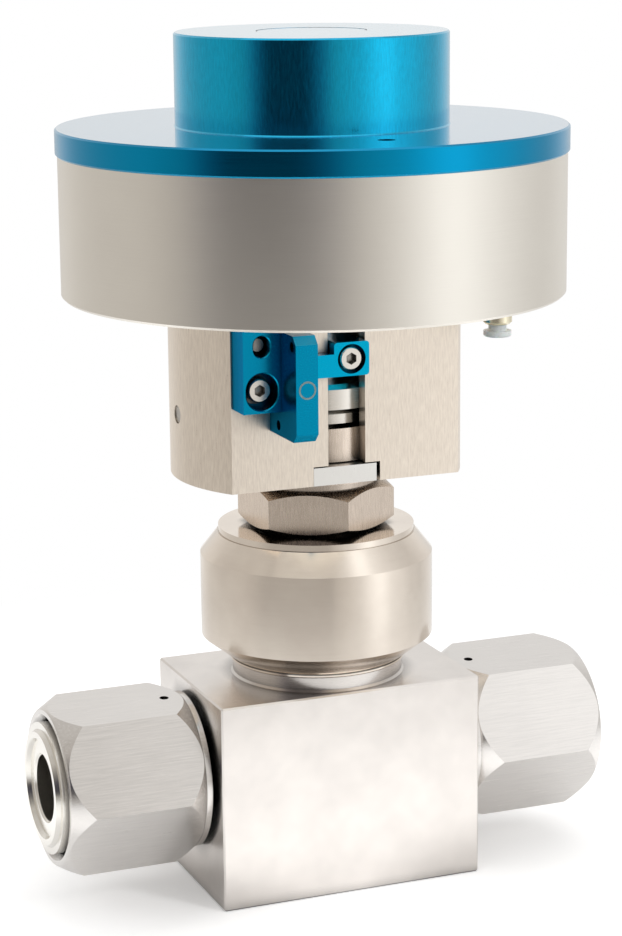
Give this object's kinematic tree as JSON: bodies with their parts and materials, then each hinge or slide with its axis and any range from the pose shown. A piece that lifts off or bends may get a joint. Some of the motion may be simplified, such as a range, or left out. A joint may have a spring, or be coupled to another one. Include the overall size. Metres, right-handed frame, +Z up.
{
  "type": "pneumatic actuated valve",
  "caption": "Bellows-sealed shut-off valve with face-seal pipe ends, a slotted yoke with a stroke indicator, and a round spring-return air actuator.",
  "frame": {"origin": "centre of the body block's underside, which is also the middle of the whole valve in X and Y", "axes": "+X along the flow axis towards the outlet, +Z up along the stem, -Y the side with the indicator"},
  "size_m": [0.143, 0.121, 0.2056],
  "materials": {
    "body_steel": "ground, fine grain",
    "gland_steel": "fine turned",
    "nut_steel": "grain along the axis",
    "bonnet_steel": "satin turned",
    "housing_steel": "satin turned",
    "key_steel": "satin",
    "plug_steel": "sintered",
    "coupling_steel": "satin turned",
    "stem_steel": "polished",
    "bellows_steel": "bright",
    "screw_steel": "bright",
    "spring_steel": "bright",
    "gasket_metal": "silver plated",
    "yoke_aluminium": "grain along the axis",
    "cylinder_aluminium": "satin turned",
    "piston_aluminium": "machined",
    "cover_blue": "blue anodised, glossy",
    "cap_blue": "blue anodised, glossy",
    "plug_blue": "blue anodised, satin",
    "bracket_blue": "blue anodised, satin",
    "arm_blue": "blue anodised, satin",
    "fitting_brass": "bright",
    "bush_bronze": "sintered",
    "collar_plastic": "milky",
    "seat_polymer": "smooth",
    "seal_rubber": "smooth",
    "washer_rubber": "smooth"
  },
  "bodies": {
    "valve_body": {"body_block": "body_steel", "seat_ring": "seat_polymer", "inlet_gland": "gland_steel", "outlet_gland": "gland_steel", "bellows_flange": "bellows_steel", "body_gasket": "gasket_metal", "bonnet": "bonnet_steel", "stem_housing": "housing_steel", "stem_bush": "bush_bronze", "stem_packing": "seal_rubber", "gland_nut": "housing_steel", "locking_key": "key_steel", "yoke": "yoke_aluminium", "vent_plug": "plug_steel", "indicator_bracket": "bracket_blue", "bracket_washer": "screw_steel", "bracket_screw": "screw_steel", "guide_pin": "screw_steel", "cylinder": "cylinder_aluminium", "yoke_screws": "screw_steel", "rod_seal": "seal_rubber", "rod_bush": "bush_bronze", "cover": "cover_blue", "cover_seal": "seal_rubber", "spring_cap": "cap_blue", "cap_plug": "plug_blue", "air_fitting": "fitting_brass", "fitting_washer": "washer_rubber"},
    "actuator_stem": {"valve_disc": "stem_steel", "valve_stem": "stem_steel", "bellows": "bellows_steel", "stem_coupling": "coupling_steel", "piston_rod": "coupling_steel", "indicator_arm": "arm_blue", "arm_screw": "screw_steel", "piston": "piston_aluminium", "guide_band": "seat_polymer", "piston_seal": "seal_rubber", "piston_nut": "screw_steel", "outer_spring": "spring_steel", "inner_spring": "spring_steel"},
    "inlet_nut": {"inlet_union_nut": "nut_steel"},
    "outlet_nut": {"outlet_union_nut": "nut_steel"},
    "tube_release": {"release_collar": "collar_plastic"}
  },
  "joints": [
    {"name": "stem_lift", "type": "slide", "parent": "valve_body", "child": "actuator_stem", "axis": [0, 0, 1], "range_m": [0, 0.005], "stiffness_N_per_m": 8000, "springref_m": -0.01, "deforming": ["bellows", "outer_spring", "inner_spring"]},
    {"name": "inlet_nut_slide", "type": "slide", "parent": "valve_body", "child": "inlet_nut", "axis": [-1, 0, 0], "range_m": [0, 0.02645]},
    {"name": "outlet_nut_slide", "type": "slide", "parent": "valve_body", "child": "outlet_nut", "axis": [1, 0, 0], "range_m": [0, 0.02645]},
    {"name": "collar_press", "type": "slide", "parent": "valve_body", "child": "tube_release", "axis": [0, 0, 1], "range_m": [0, 0.0008], "stiffness_N_per_m": 300, "springref_m": -0.001}
  ]
}
